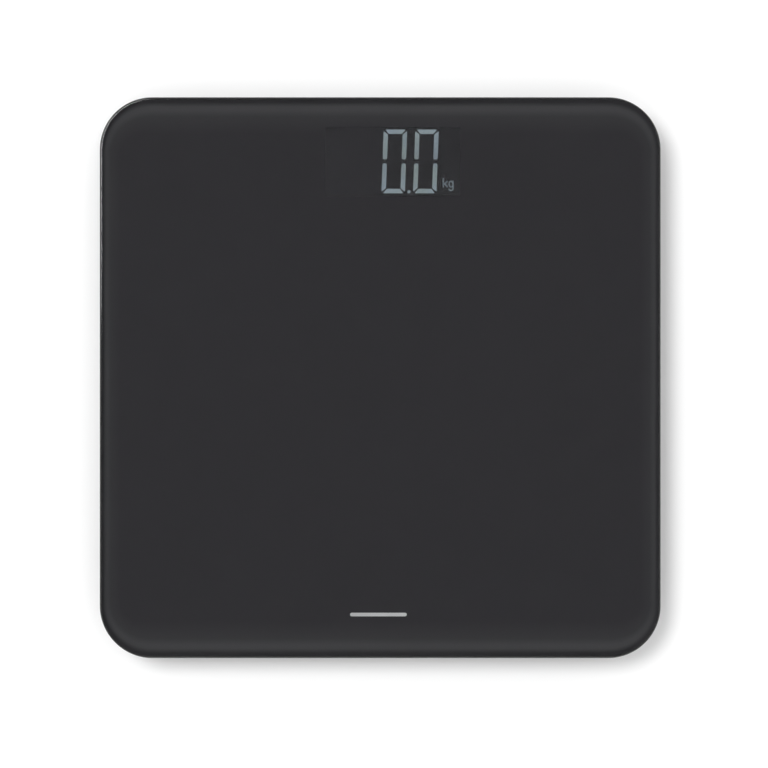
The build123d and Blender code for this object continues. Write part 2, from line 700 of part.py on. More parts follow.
def unit_button():
    """The button in the bottom cover that changes the unit, slightly recessed and dished."""
    cap = disc(BUTTON_R, Z_COVER + 0.2, Z_COVER_TOP + CLEAR, BUTTON_X, BUTTON_Y)
    cap = fillet(cap.edges().group_by(Axis.Z)[0], 0.4)
    flange = disc(BUTTON_R + 1.2, Z_COVER_TOP + CLEAR, Z_COVER_TOP + CLEAR + 0.5, BUTTON_X, BUTTON_Y)
    stem = disc(1.5, Z_COVER_TOP + CLEAR + 0.5, Z_PLUNGER, BUTTON_X, BUTTON_Y)
    dish = Pos(BUTTON_X, BUTTON_Y, Z_COVER + 0.2 - 11.6) * Sphere(12.0)
    return cap + flange + stem - dish


# ---------------------------------------------------------------- batteries


def battery(y, way):
    """One AAA cell along X. Its plus nub points to +X when way is 1."""
    can = rods_along_x(AAA_R, CONTACT_X - 0.1 - AAA_L, CONTACT_X - 0.1 - NUB_L, 0, 0)
    can = fillet(can.edges(), 0.5)
    cell = can + rods_along_x(NUB_R, CONTACT_X - 0.1 - NUB_L - 0.5, CONTACT_X - 0.1, 0, 0)
    return Pos(0, y, BATTERY_Z) * Rot(0, 0, 0 if way > 0 else 180) * cell


def contact_plate(side, y):
    inner, outer = side * CONTACT_X, side * (CONTACT_X + CONTACT_T)
    plate = block(min(inner, outer), max(inner, outer), y - 4.4, y + 4.4, Z_COVER_TOP + 1.2, Z_DECK - 0.3)
    return plate


def battery_contacts():
    plates = {(side, y): contact_plate(side, y) for side in (-1, 1) for y, _ in BATTERY_ROWS}
    for side, y in tab_places():
        inner, outer = side * (CONTACT_X + 0.1), side * (BOX_X + BOX_WALL + 1.6)
        top = WIRE_Z - WIRE_R
        tab = block(min(inner, outer), max(inner, outer), y - 1.5, y + 1.5, top - 0.4, top)
        plates[(side, y)] += tab
    return Compound(children=list(plates.values()))


def battery_springs():
    """A tapered spring behind the minus end of each battery."""
    wire_r = 0.25
    length = 2 * CONTACT_X - 0.1 - AAA_L - 2 * wire_r - 0.1
    coil = Helix(pitch=length / 3.5, height=length, radius=2.9, cone_angle=-9)
    start = Plane(origin=coil @ 0, z_dir=coil % 0)
    one = sweep(start * Circle(wire_r), path=coil)
    springs = []
    for y, way in BATTERY_ROWS:
        turn = Rot(0, 90 if way > 0 else -90, 0)
        springs.append(Pos(-way * (CONTACT_X - wire_r - 0.05), y, BATTERY_Z) * turn * one)
    return Compound(children=springs)


def battery_door():
    """The hinged door: a plate, a round knuckle with two pins, and a springy latch at the rear edge."""
    plate = block(-DOOR_X, DOOR_X, DOOR_REAR, HINGE_Y, Z_COVER, Z_COVER_TOP)
    recess = block(-DOOR_X + 3, DOOR_X - 3, DOOR_REAR + 9, HINGE_Y - 4, Z_COVER - 1, Z_COVER + 0.4)
    grips = [
        block(-7, 7, DOOR_REAR + 2.2 + 1.6 * k, DOOR_REAR + 3.0 + 1.6 * k, Z_COVER - 1, Z_COVER + 0.4)
        for k in range(3)
    ]
    knuckle = rods_along_x(KNUCKLE_R, -DOOR_X, DOOR_X, HINGE_Y, HINGE_Z)
    pins = rods_along_x(PIN_R, -DOOR_X - PIN_L, DOOR_X + PIN_L, HINGE_Y, HINGE_Z)
    latch = block(
        -LATCH_W / 2,
        LATCH_W / 2,
        DOOR_REAR + 0.3,
        DOOR_REAR + 0.3 + LATCH_T,
        Z_COVER_TOP - 0.5,
        Z_COVER_TOP + LATCH_H,
    )
    bead = rods_along_x(BEAD_R, -LATCH_W / 2, LATCH_W / 2, DOOR_REAR + 0.3, Z_COVER_TOP + 2 * BEAD_R)
    return (plate - recess).cut(*grips).fuse(knuckle, pins, latch, bead)


# ---------------------------------------------------------------- wiring


def cell_routes():
    """The middle line of each load cell's three leads, from its seal to the board's side edge."""
    start = FOOT_XY - SEAL_END
    left, right = BOARD_X - BOARD_W / 2 + 1.5, BOARD_X + BOARD_W / 2 - 1.5
    low_y, high_y = 107.5, 117.5
    return [
        [(-start, FOOT_XY), (-84, FOOT_XY), (-70, high_y), (left, high_y)],
        [(start, FOOT_XY), (90, FOOT_XY), (76, high_y), (right, high_y)],
        [(-start, -FOOT_XY), (-WIRE_RUN_X, -FOOT_XY), (-WIRE_RUN_X, low_y), (left, low_y)],
        [(start, -FOOT_XY), (WIRE_RUN_X, -FOOT_XY), (WIRE_RUN_X, low_y), (right, low_y)],
    ]


def load_cell_wires(place):
    """One wire of every cell. place is -1, 0 or 1 across the flat bundle."""
    wires = []
    for route in cell_routes():
        wires.append(wire(side_route(route, place * WIRE_PITCH), 7.0))
    return Compound(children=wires)


def battery_routes():
    (_, minus_y), (_, plus_y) = tab_places()
    tab_x = BOX_X + BOX_WALL + 0.9
    pad_y = BOARD_Y - BOARD_D / 2 + 2.5
    return {
        "black": [(-tab_x, minus_y), (-40, minus_y), (-40, 62), (-18, 78), (-18, pad_y)],
        "red": [(tab_x, plus_y), (41, plus_y), (41, 60), (30, 74), (30, pad_y)],
    }


def battery_lead(colour):
    return wire(battery_routes()[colour], 5.0)


def solder_joints():
    """A dome of solder over the board end of every lead."""
    ends = []
    for route in cell_routes():
        ends += [side_route(route, place * WIRE_PITCH)[-1] for place in (-1, 0, 1)]
    ends += [route[-1] for route in battery_routes().values()]
    dome = Sphere(0.62) & Pos(0, 0, 1) * Box(2, 2, 2)
    inward = {True: 0.65, False: -0.65}
    joints = []
    for x, y in ends:
        on_front_edge = y < BOARD_Y - BOARD_D / 2 + 4
        dx = 0.0 if on_front_edge else inward[x < BOARD_X]
        dy = 0.65 if on_front_edge else 0.0
        joints.append(Pos(x + dx, y + dy, Z_BOARD_TOP) * dome)
    return Compound(children=joints)


# ---------------------------------------------------------------- build and write


def all_nodes():
    nodes = {
        "glass_platform": glass_platform(),
        "back_print": back_print(),
        "printed_mark": printed_mark(),
        "display_window": display_window(),
        "glass_tape": glass_tape(),
        "upper_housing": upper_housing(),
        "bottom_cover": bottom_cover(),
        "cover_screws": cover_screws(),
        "lcd_front_glass": lcd_front_glass(),
        "lcd_rear_glass": lcd_rear_glass(),
        "lcd_front_polariser": lcd_front_polariser(),
        "lcd_rear_polariser": lcd_rear_polariser(),
        "lcd_segments": lcd_segments(),
        "lcd_gasket": lcd_gasket(),
        "lcd_holder": lcd_holder(),
        "backlight_panel": backlight_panel(),
        "backlight_leds": backlight_leds(),
        "zebra_strip": zebra_strip(),
        "main_board": main_board(),
        "board_screws": board_screws(),
        "microcontroller": microcontroller(),
        "converter_chip": converter_chip(),
        "crystal": crystal(),
        "capacitors": capacitors(),
        "resistors": resistors(),
        "solder_joints": solder_joints(),
        "unit_switch": unit_switch(),
        "unit_switch_plunger": unit_switch_plunger(),
        "unit_button": unit_button(),
        "battery_door": battery_door(),
        "battery_contacts": battery_contacts(),
        "battery_springs": battery_springs(),
        "battery_lead_black": battery_lead("black"),
        "battery_lead_red": battery_lead("red"),
        "load_cell_wires_black": load_cell_wires(-1),
        "load_cell_wires_white": load_cell_wires(0),
        "load_cell_wires_red": load_cell_wires(1),
    }
    for number, (y, way) in enumerate(BATTERY_ROWS, 1):
        nodes[f"battery_{number}"] = battery(y, way)
    seals = []
    for corner, (sx, sy) in CORNERS.items():
        nodes[f"load_cell_{corner}"] = at_corner(sx, sy) * load_cell()
        nodes[f"foot_plate_{corner}"] = at_corner(sx, sy) * foot_plate()
        nodes[f"foot_pad_{corner}"] = at_corner(sx, sy) * foot_pad()
        seals.append(at_corner(sx, sy) * strain_gauge_seal())
    nodes["strain_gauge_seals"] = Compound(children=seals)
    return nodes


os.makedirs("parts", exist_ok=True)
for node_name, shape in all_nodes().items():
    export_step(shape, f"parts/{node_name}.step")
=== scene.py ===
"""The looks of the digital bathroom scale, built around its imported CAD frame.

Everything is in metres, in the frame of the CAD model: +Z up, +Y towards the display end, and the origin on
the floor under the middle of the platform.
"""

import json
import math

import bmesh
import bpy
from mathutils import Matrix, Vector


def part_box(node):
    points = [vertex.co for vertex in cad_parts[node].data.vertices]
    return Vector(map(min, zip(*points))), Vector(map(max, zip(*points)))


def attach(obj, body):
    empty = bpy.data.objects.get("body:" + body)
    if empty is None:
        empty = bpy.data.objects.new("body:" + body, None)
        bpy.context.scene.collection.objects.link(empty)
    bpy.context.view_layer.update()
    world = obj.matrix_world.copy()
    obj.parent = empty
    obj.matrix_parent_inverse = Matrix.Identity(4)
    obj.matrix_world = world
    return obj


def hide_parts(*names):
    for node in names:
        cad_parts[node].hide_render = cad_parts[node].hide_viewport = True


MM = 0.001

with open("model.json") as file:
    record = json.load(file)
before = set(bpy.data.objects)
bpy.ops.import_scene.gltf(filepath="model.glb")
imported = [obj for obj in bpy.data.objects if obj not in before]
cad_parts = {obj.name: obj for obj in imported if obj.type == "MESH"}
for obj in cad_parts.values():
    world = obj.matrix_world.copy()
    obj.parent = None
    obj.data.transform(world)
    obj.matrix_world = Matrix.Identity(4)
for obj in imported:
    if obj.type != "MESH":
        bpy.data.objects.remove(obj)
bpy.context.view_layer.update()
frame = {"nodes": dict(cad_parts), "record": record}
NODES = frame["nodes"]
GLASS_LOW, GLASS_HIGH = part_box("glass_platform")


# ---------------------------------------------------------------- sizes and colours

PLATE_R = 29.0 * MM  # corner radius of the plate
EDGE_R = 1.3 * MM  # rounding of its edge at the top
EDGE_LOW_R = 0.5 * MM  # and at the underside
GLASS_IOR = 1.52
INK = (0.0514, 0.0500, 0.0554)
WINDOW = (0.0960, 0.0940, 0.1063)
WINDOW_ALPHA = 0.3  # low enough that the readout shows through both faces of the window's ink
MOTTLE = 0.015  # how far the printed inks vary in brightness, either way
GLOW = 0.56
# Brightness of the readout from its bottom to its top
GLOW_ALONG = ((0.0, 1.0), (0.08, 0.95), (0.14, 0.84), (0.5, 0.76), (0.86, 0.84), (0.93, 0.97), (1.0, 1.0))
UNIT_FROM = 33.5 * MM  # the unit's letters lie to the right of this
UNIT_DIMMER = 0.70

# The printed sleeve of a battery, along its half length as a share of it
BATTERY_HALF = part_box("battery_1")[1].x
SLEEVE_END = 0.945
PALE_BAND = (0.80, 0.885)
STEP = 0.005  # how sharp the borders are

# Painted light: a lighter band painted into the ink along the plate's edge, standing in for the light that
# the ground edge throws on the ink. How far in it fades out, its shape, how it differs along the sides, and
# its colour as a multiple of the ink's
BAND_REACH = 20 * MM
BAND = ((0.13, 0.0), (0.25, 1.0), (0.35, 1.0), (0.52, 0.35), (1.0, 0.0))
BAND_SIDE_NARROWER = 1.8
BAND_SIDE_STRENGTH = 0.75
PAINTED_LIGHT_GAIN = (1.80, 1.84, 1.74)

# ---------------------------------------------------------------- camera, light and floor

VIEW_WIDTH = 424.1 * MM  # what the picture spans at the level of the glass
LENS, SENSOR = 110.0, 36.0
CAMERA_SIDE = 2.1 * MM  # the camera stands a little right of the middle of the plate and a little behind it
CAMERA_BACK = -3.5 * MM
FLOOR_HALF = 20.0  # half the side of the floor

# Brightness of the sky by the sine of its height: pale at the horizon, brightest higher up, dark overhead
SKY = ((0.0, 0.65), (0.45, 0.6), (0.70, 1.0), (0.90, 1.0), (0.97, 0.08))
SKY_STRENGTH = 1.2
KEY_PLACE = (-1.12, 0.78, 3.0)
KEY_SIZE, KEY_POWER = 1.35, 51


def make_camera():
    data = bpy.data.cameras.new("camera")
    data.lens = LENS
    data.sensor_width = SENSOR
    data.clip_start = 0.05
    camera = bpy.data.objects.new("camera", data)
    bpy.context.scene.collection.objects.link(camera)
    distance = VIEW_WIDTH * LENS / SENSOR
    camera.location = (CAMERA_SIDE, CAMERA_BACK, GLASS_HIGH.z + distance)
    bpy.context.scene.camera = camera


def make_key():
    """A large round lamp, high up and to the left, aimed at the middle of the scale."""
    data = bpy.data.lights.new("key", "AREA")
    data.shape = "DISK"
    data.size = KEY_SIZE
    data.energy = KEY_POWER
    light = bpy.data.objects.new("key", data)
    bpy.context.scene.collection.objects.link(light)
    light.location = KEY_PLACE
    light.rotation_euler = (-light.location).to_track_quat("-Z", "Y").to_euler()
    # The print under the glass is lit by the sky alone, which is less grainy
    light.visible_transmission = False


def make_world():
    """A studio lit by a wide ring of sky, dark overhead, where the glass would mirror it to the camera."""
    world = bpy.data.worlds.new("studio")
    bpy.context.scene.world = world
    world.use_nodes = True
    tree = world.node_tree
    background = tree.nodes["Background"]
    direction = tree.nodes.new("ShaderNodeTexCoord").outputs["Generated"]
    tree.links.new(ramp(tree, axes(tree, direction)["Z"], SKY), background.inputs["Color"])
    background.inputs["Strength"].default_value = SKY_STRENGTH


def make_floor():
    mesh = bpy.data.meshes.new("floor")
    corners = [(x * FLOOR_HALF, y * FLOOR_HALF, 0) for x, y in ((-1, -1), (1, -1), (1, 1), (-1, 1))]
    mesh.from_pydata(corners, [], [(0, 1, 2, 3)])
    floor = bpy.data.objects.new("floor", mesh)
    bpy.context.scene.collection.objects.link(floor)
    material, shader, tree = new_material("floor")
    shader.inputs["Base Color"].default_value = (0.90, 0.90, 0.90, 1)
    shader.inputs["Roughness"].default_value = 0.9
    shader.inputs["Specular IOR Level"].default_value = 0.1
    mesh.materials.append(material)


# ---------------------------------------------------------------- materials


def new_material(name):
    material = bpy.data.materials.new(name)
    material.use_nodes = True
    tree = material.node_tree
    return material, tree.nodes["Principled BSDF"], tree


def object_place(tree):
    """The place on the surface in the object's own space, in metres."""
    return tree.nodes.new("ShaderNodeTexCoord").outputs["Object"]


def axes(tree, vector):
    """The X, Y and Z of a vector, as outputs."""
    split = tree.nodes.new("ShaderNodeSeparateXYZ")
    tree.links.new(vector, split.inputs[0])
    return split.outputs


def noise(tree, grain, detail=3.0, stretch=(1, 1, 1)):
    """Noise in the object's own space. grain is the size of its coarsest lumps, in metres."""
    mapping = tree.nodes.new("ShaderNodeMapping")
    mapping.inputs["Scale"].default_value = [1 / (grain * s) for s in stretch]
    texture = tree.nodes.new("ShaderNodeTexNoise")
    texture.inputs["Scale"].default_value = 1.0
    texture.inputs["Detail"].default_value = detail
    tree.links.new(object_place(tree), mapping.inputs[0])
    tree.links.new(mapping.outputs[0], texture.inputs["Vector"])
    return texture.outputs[0]


def ramp(tree, value, stops):
    """A grey value that runs through (position, brightness) stops."""
    node = tree.nodes.new("ShaderNodeValToRGB")
    tree.links.new(value, node.inputs[0])
    marks = node.color_ramp.elements
    while len(marks) < len(stops):
        marks.new(0.5)
    for mark, (position, grey) in zip(marks, stops):
        mark.position = position
        mark.color = (grey, grey, grey, 1)
    return node.outputs[0]


def spread(tree, value, low, high, start=0.35, end=0.65):
    """Maps the middle of a noise, or start..end of any value, to low..high."""
    node = tree.nodes.new("ShaderNodeMapRange")
    node.inputs["From Min"].default_value = start
    node.inputs["From Max"].default_value = end
    node.inputs["To Min"].default_value = low
    node.inputs["To Max"].default_value = high
    tree.links.new(value, node.inputs["Value"])
    return node.outputs[0]


def tint(tree, value, dark, light):
    """A colour between dark and light, chosen by value. Either may be a colour or a socket."""
    node = tree.nodes.new("ShaderNodeMix")
    node.data_type = "RGBA"
    tree.links.new(value, node.inputs[0])
    for socket, given in zip(node.inputs[6:8], (dark, light)):
        if isinstance(given, bpy.types.NodeSocket):
            tree.links.new(given, socket)
        else:
            socket.default_value = (*given, 1)
    return node.outputs[2]


def relief(tree, shader, value, height):
    """Bumps the surface by height metres."""
    bump = tree.nodes.new("ShaderNodeBump")
    bump.inputs["Strength"].default_value = 1.0
    bump.inputs["Distance"].default_value = height
    tree.links.new(value, bump.inputs["Height"])
    tree.links.new(bump.outputs[0], shader.inputs["Normal"])


def textured(
    name, colour, roughness, grain, height, contrast=0.15, metallic=0.0, specular=0.5, stretch=(1, 1, 1)
):
    """A material with mottled colour, uneven gloss and a fine relief."""
    material, shader, tree = new_material(name)
    fine = noise(tree, grain, 2.0, stretch)
    broad = noise(tree, grain * 40, 4.0, stretch)
    dark = [c * (1 - contrast) for c in colour]
    light = [min(1.0, c * (1 + contrast)) for c in colour]
    tree.links.new(tint(tree, spread(tree, broad, 0, 1), dark, light), shader.inputs["Base Color"])
    gloss = spread(tree, broad, roughness * 0.88, min(1.0, roughness * 1.12))
    tree.links.new(gloss, shader.inputs["Roughness"])
    shader.inputs["Metallic"].default_value = metallic
    shader.inputs["Specular IOR Level"].default_value = specular
    if height:
        relief(tree, shader, fine, height)
    return material


def drawn_metal(name, colour, roughness, grain, height, stretch):
    """Bare metal with its grain drawn out along one axis."""
    return textured(name, colour, roughness, grain, height, metallic=1.0, stretch=stretch)


def vector_math(tree, operation, value, other=(0, 0, 0)):
    node = tree.nodes.new("ShaderNodeVectorMath")
    node.operation = operation
    tree.links.new(value, node.inputs[0])
    node.inputs[1].default_value = other
    return node


def scalar_math(tree, operation, value, other):
    """value and other combined. Either may be a number or a socket."""
    node = tree.nodes.new("ShaderNodeMath")
    node.operation = operation
    for socket, given in zip(node.inputs, (value, other)):
        if isinstance(given, (int, float)):
            socket.default_value = given
        else:
            tree.links.new(given, socket)
    return node.outputs[0]


def object_axis(tree, axis):
    """The object-space coordinate along X, Y or Z, in metres."""
    return axes(tree, object_place(tree))[axis]


def glass(name, colour, roughness, ripple_grain, ripple):
    """Clear soda-lime glass. The ripple is the slight unevenness that tempering leaves."""
    material, shader, tree = new_material(name)
    shader.inputs["Base Color"].default_value = (*colour, 1)
    shader.inputs["Roughness"].default_value = roughness
    shader.inputs["IOR"].default_value = GLASS_IOR
    shader.inputs["Transmission Weight"].default_value = 1.0
    relief(tree, shader, noise(tree, ripple_grain), ripple)
    return material


def glass_face():
    return glass("glass_face", (0.985, 0.992, 0.99), 0.0, 45 * MM, 0.004 * MM)


def glass_edge():
    """The polished edge, tinted a little green and much darker than the faces: the darkness is painted shade
    on the same glass.
    """
    return glass("glass_edge", (0.080, 0.088, 0.086), 0.08, 0.3 * MM, 0.002 * MM)


def display_glass():
    return glass("display_glass", (0.97, 0.98, 0.98), 0.0, 20 * MM, 0.001 * MM)


def painted_edge_light(tree):
    """0 over most of the plate, rising in the band where the ground edge throws light on the ink: the mask
    of painted light.
    """
    flat = vector_math(tree, "MULTIPLY", object_place(tree), (1, 1, 0))
    mirrored = vector_math(tree, "ABSOLUTE", flat.outputs[0])
    straight = GLASS_HIGH.x - PLATE_R
    beyond = vector_math(tree, "SUBTRACT", mirrored.outputs[0], (straight, straight, 0))
    corner = vector_math(tree, "MAXIMUM", beyond.outputs[0])
    length = vector_math(tree, "LENGTH", corner.outputs[0])
    inward = scalar_math(tree, "SUBTRACT", PLATE_R, length.outputs["Value"])
    facing = axes(tree, vector_math(tree, "NORMALIZE", corner.outputs[0]).outputs[0])["Y"]
    narrowing = spread(tree, facing, BAND_SIDE_NARROWER, 1, 0, 1)
    share = spread(tree, scalar_math(tree, "MULTIPLY", inward, narrowing), 0, 1, 0, BAND_REACH)
    strength = spread(tree, facing, BAND_SIDE_STRENGTH, 1, 0, 1)
    return scalar_math(tree, "MULTIPLY", ramp(tree, share, BAND), strength)


def mottled(tree, colour):
    """(mottle, colour) of a printed ink: a broad noise from 0 to 1, and the colour that follows it."""
    mottle = spread(tree, noise(tree, 18 * MM, 4.0), 0, 1)
    dark = [c * (1 - MOTTLE) for c in colour]
    light = [c * (1 + MOTTLE) for c in colour]
    return mottle, tint(tree, mottle, dark, light)


def ceramic_ink():
    """Fired ink seen through the glass it is bonded to, so it has no gloss of its own."""
    material, shader, tree = new_material("ceramic_ink")
    mottle, plain = mottled(tree, INK)
    # Painted light: the ink is lighter in a band along the plate's edge, standing in for the light the
    # ground edge throws on it
    band = [c * gain for c, gain in zip(INK, PAINTED_LIGHT_GAIN)]
    tree.links.new(tint(tree, painted_edge_light(tree), plain, band), shader.inputs["Base Color"])
    tree.links.new(spread(tree, mottle, 0.58, 0.66, 0, 1), shader.inputs["Roughness"])
    shader.inputs["Specular IOR Level"].default_value = 0.0
    return material


def window_ink():
    """The translucent ink of the display window. Its own colour makes up for what shows through it."""
    material, shader, tree = new_material("window_ink")
    _, colour = mottled(tree, WINDOW)
    tree.links.new(colour, shader.inputs["Base Color"])
    shader.inputs["Roughness"].default_value = 0.5
    shader.inputs["Specular IOR Level"].default_value = 0.0
    shader.inputs["Alpha"].default_value = WINDOW_ALPHA
    return material


def mark_ink():
    return textured("mark_ink", (0.80, 0.80, 0.81), 0.6, 0.5 * MM, 0, contrast=0.04, specular=0.0)


def polariser():
    return textured("polariser", (0.006, 0.006, 0.007), 0.45, 0.4 * MM, 0.001 * MM, specular=0.1)


def lit_segment():
    """Segments that glow through the window in slightly varied blue-greys, brightest at top and bottom."""
    material, shader, tree = new_material("lit_segment")
    low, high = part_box("lcd_segments")
    hue = spread(tree, noise(tree, 14 * MM, 1.0), 0, 1)
    colour = tint(tree, hue, (0.69, 0.87, 1.0), (0.78, 0.97, 0.96))
    glow = spread(tree, noise(tree, 9 * MM, 2.0, (1, 2.5, 1)), 0.94, 1.06)
    along = ramp(tree, spread(tree, object_axis(tree, "Y"), 0, 1, low.y, high.y), GLOW_ALONG)
    unit = spread(tree, object_axis(tree, "X"), GLOW, GLOW * UNIT_DIMMER, UNIT_FROM, UNIT_FROM + 0.2 * MM)
    tree.links.new(colour, shader.inputs["Emission Color"])
    level = scalar_math(tree, "MULTIPLY", glow, along)
    tree.links.new(scalar_math(tree, "MULTIPLY", level, unit), shader.inputs["Emission Strength"])
    shader.inputs["Base Color"].default_value = (0.10, 0.12, 0.13, 1)
    shader.inputs["Roughness"].default_value = 0.4
    return material


def foam_tape():
    return textured("foam_tape", (0.020, 0.020, 0.021), 0.85, 0.35 * MM, 0.08 * MM, contrast=0.3)


def housing_plastic():
    return textured("housing_plastic", (0.034, 0.035, 0.039), 0.52, 0.30 * MM, 0.020 * MM, contrast=0.05)


def cover_plastic():
    return textured("cover_plastic", (0.032, 0.033, 0.037), 0.55, 0.45 * MM, 0.035 * MM, contrast=0.05)


def button_plastic():
    return textured("button_plastic", (0.15, 0.155, 0.165), 0.42, 0.25 * MM, 0.010 * MM)


def foot_plastic():
    return textured("foot_plastic", (0.048, 0.048, 0.053), 0.58, 0.5 * MM, 0.03 * MM, stretch=(1, 3, 1))


def foot_rubber():
    """Matt rubber, scuffed paler where it meets the floor."""
    material = textured("foot_rubber", (0.085, 0.085, 0.090), 0.85, 0.4 * MM, 0.05 * MM, contrast=0.25)
    tree = material.node_tree
    shader = tree.nodes["Principled BSDF"]
    plain = shader.inputs["Base Color"].links[0].from_socket
    scuffs = spread(tree, noise(tree, 1.5 * MM, 5.0, (1, 6, 1)), 0, 0.6, 0.52, 0.72)
    low = spread(tree, object_axis(tree, "Z"), 1, 0, 0, 0.4 * MM)
    worn = scalar_math(tree, "MULTIPLY", scuffs, low)
    tree.links.new(tint(tree, worn, plain, (0.22, 0.215, 0.21)), shader.inputs["Base Color"])
    return material


def screw_steel():
    return textured("screw_steel", (0.30, 0.30, 0.32), 0.32, 0.2 * MM, 0.006 * MM, metallic=1.0)


def cell_steel():
    return drawn_metal("cell_steel", (0.60, 0.60, 0.62), 0.30, 0.3 * MM, 0.008 * MM, (8, 1, 1))


def silicone():
    return textured("silicone", (0.82, 0.82, 0.80), 0.38, 2.0 * MM, 0.12 * MM, contrast=0.05)


def white_plastic():
    return textured("white_plastic", (0.78, 0.78, 0.76), 0.45, 0.3 * MM, 0.012 * MM, contrast=0.04)


def light_guide():
    return textured("light_guide", (0.84, 0.87, 0.90), 0.12, 0.8 * MM, 0.010 * MM, contrast=0.03)


def led():
    return textured("led", (0.90, 0.86, 0.62), 0.30, 0.4 * MM, 0.010 * MM, contrast=0.10)


def connector_rubber():
    """Fine pink and black layers across the strip."""
    material, shader, tree = new_material("connector_rubber")
    layers = tree.nodes.new("ShaderNodeTexWave")
    layers.inputs["Scale"].default_value = 1 / (0.6 * MM)
    tree.links.new(object_place(tree), layers.inputs["Vector"])
    colour = tint(tree, spread(tree, layers.outputs["Fac"], 0, 1), (0.04, 0.03, 0.035), (0.70, 0.33, 0.40))
    tree.links.new(colour, shader.inputs["Base Color"])
    tree.links.new(spread(tree, noise(tree, 0.4 * MM), 0.6, 0.8), shader.inputs["Roughness"])
    return material


def circuit_board():
    """Green solder mask with paler tracks under it."""
    material, shader, tree = new_material("circuit_board")
    tracks = tree.nodes.new("ShaderNodeTexBrick")
    tracks.inputs["Scale"].default_value = 1.0
    tracks.inputs["Brick Width"].default_value = 9 * MM
    tracks.inputs["Row Height"].default_value = 1.6 * MM
    tracks.inputs["Mortar Size"].default_value = 0.22 * MM
    tracks.inputs["Mortar"].default_value = (1, 1, 1, 1)
    tracks.inputs["Color1"].default_value = (0, 0, 0, 1)
    tracks.inputs["Color2"].default_value = (0, 0, 0, 1)
    tree.links.new(object_place(tree), tracks.inputs["Vector"])
    colour = tint(tree, tracks.outputs["Color"], (0.012, 0.13, 0.055), (0.035, 0.25, 0.11))
    tree.links.new(colour, shader.inputs["Base Color"])
    relief(tree, shader, tracks.outputs["Color"], 0.03 * MM)
    tree.links.new(spread(tree, noise(tree, 2 * MM), 0.22, 0.34), shader.inputs["Roughness"])
    return material


def chip_black():
    return textured("chip_black", (0.020, 0.020, 0.022), 0.6, 0.15 * MM, 0.008 * MM, contrast=0.2)


def crystal_can():
    return drawn_metal("crystal_can", (0.74, 0.74, 0.76), 0.2, 0.5 * MM, 0.003 * MM, (6, 1, 1))


def ceramic_chip():
    return textured("ceramic_chip", (0.44, 0.30, 0.18), 0.45, 0.2 * MM, 0.006 * MM, contrast=0.1)


def solder():
    return textured("solder", (0.70, 0.70, 0.72), 0.24, 0.4 * MM, 0.020 * MM, metallic=1.0)


def switch_black():
    return textured("switch_black", (0.028, 0.028, 0.029), 0.5, 0.2 * MM, 0.008 * MM)


def switch_plunger():
    return textured("switch_plunger", (0.53, 0.48, 0.40), 0.45, 0.2 * MM, 0.006 * MM, contrast=0.05)


def contact_metal():
    return drawn_metal("contact_metal", (0.76, 0.75, 0.72), 0.25, 0.4 * MM, 0.006 * MM, (1, 8, 1))


def battery_can():
    """A plain dark sleeve with a pale band near both ends, and bare metal at the ends."""
    material, shader, tree = new_material("battery_can")
    along = scalar_math(tree, "ABSOLUTE", object_axis(tree, "X"), 0)
    position = scalar_math(tree, "DIVIDE", along, BATTERY_HALF)
    bare = ramp(tree, position, ((0.0, 0.0), (SLEEVE_END, 0.0), (SLEEVE_END + STEP, 1.0)))
    low, high = PALE_BAND
    pale = ramp(tree, position, ((low, 0.0), (low + STEP, 1.0), (high, 1.0), (high + STEP, 0.0)))
    sleeve = tint(tree, pale, (0.035, 0.06, 0.10), (0.55, 0.56, 0.56))
    tree.links.new(tint(tree, bare, sleeve, (0.68, 0.68, 0.69)), shader.inputs["Base Color"])
    tree.links.new(bare, shader.inputs["Metallic"])
    tree.links.new(spread(tree, noise(tree, 3 * MM, 4.0), 0.24, 0.34), shader.inputs["Roughness"])
    relief(tree, shader, noise(tree, 0.6 * MM, 2.0, (6, 1, 1)), 0.004 * MM)
    return material


def wire(name, colour):
    return textured(name, colour, 0.42, 0.8 * MM, 0.015 * MM, contrast=0.08, stretch=(3, 3, 1))


def wire_black():
    return wire("wire_black", (0.018, 0.018, 0.018))


def wire_red():
    return wire("wire_red", (0.55, 0.025, 0.025))


def wire_white():
    return wire("wire_white", (0.80, 0.80, 0.79))


def label_foil():
    """A satin grey foil with a darker printed border."""
    material, shader, tree = new_material("label_foil")
    low, high = label_corners()
    centre = ((low.x + high.x) / 2, (low.y + high.y) / 2, 0)
    border = (high.x - low.x) / 2 - LABEL_MARGIN, (high.y - low.y) / 2 - LABEL_MARGIN, 1
    shifted = vector_math(tree, "SUBTRACT", object_place(tree), centre)
    mirrored = vector_math(tree, "ABSOLUTE", shifted.outputs[0])
    outside = vector_math(tree, "SUBTRACT", mirrored.outputs[0], border)
    over = axes(tree, outside.outputs[0])
    past = scalar_math(tree, "MAXIMUM", over["X"], over["Y"])
    line = ramp(tree, spread(tree, past, 0, 1, -1 * MM, 1 * MM), ((0.47, 0), (0.5, 1), (0.65, 1), (0.68, 0)))
    grain = spread(tree, noise(tree, 0.5 * MM, 3.0, (10, 1, 1)), 0.44, 0.50)
    plain = tint(tree, grain, (0.12, 0.12, 0.12), (0.40, 0.40, 0.41))
    tree.links.new(tint(tree, line, plain, (0.06, 0.06, 0.065)), shader.inputs["Base Color"])
    tree.links.new(grain, shader.inputs["Roughness"])
    return material


# ---------------------------------------------------------------- glass platform

BOND = 0.04 * MM  # the glass reaches this far into the ink, so that no air shows between them
CORNER_STEPS = 28
EDGE_STEPS = 14
EDGE_FLAT = 2 * MM  # width of the flat ring between the rounded edge and each face


def rounded_outline(half_x, half_y, radius, steps):
    """A rounded rectangle about the origin in plan, as (x, y) points in order."""
    points = []
    for corner in range(4):
        cx = (half_x - radius) * (1 if corner in (0, 3) else -1)
        cy = (half_y - radius) * (1 if corner in (0, 1) else -1)
        for step in range(steps + 1):
            angle = math.pi / 2 * (corner + step / steps)
            points.append((cx + radius * math.cos(angle), cy + radius * math.sin(angle)))
    return points


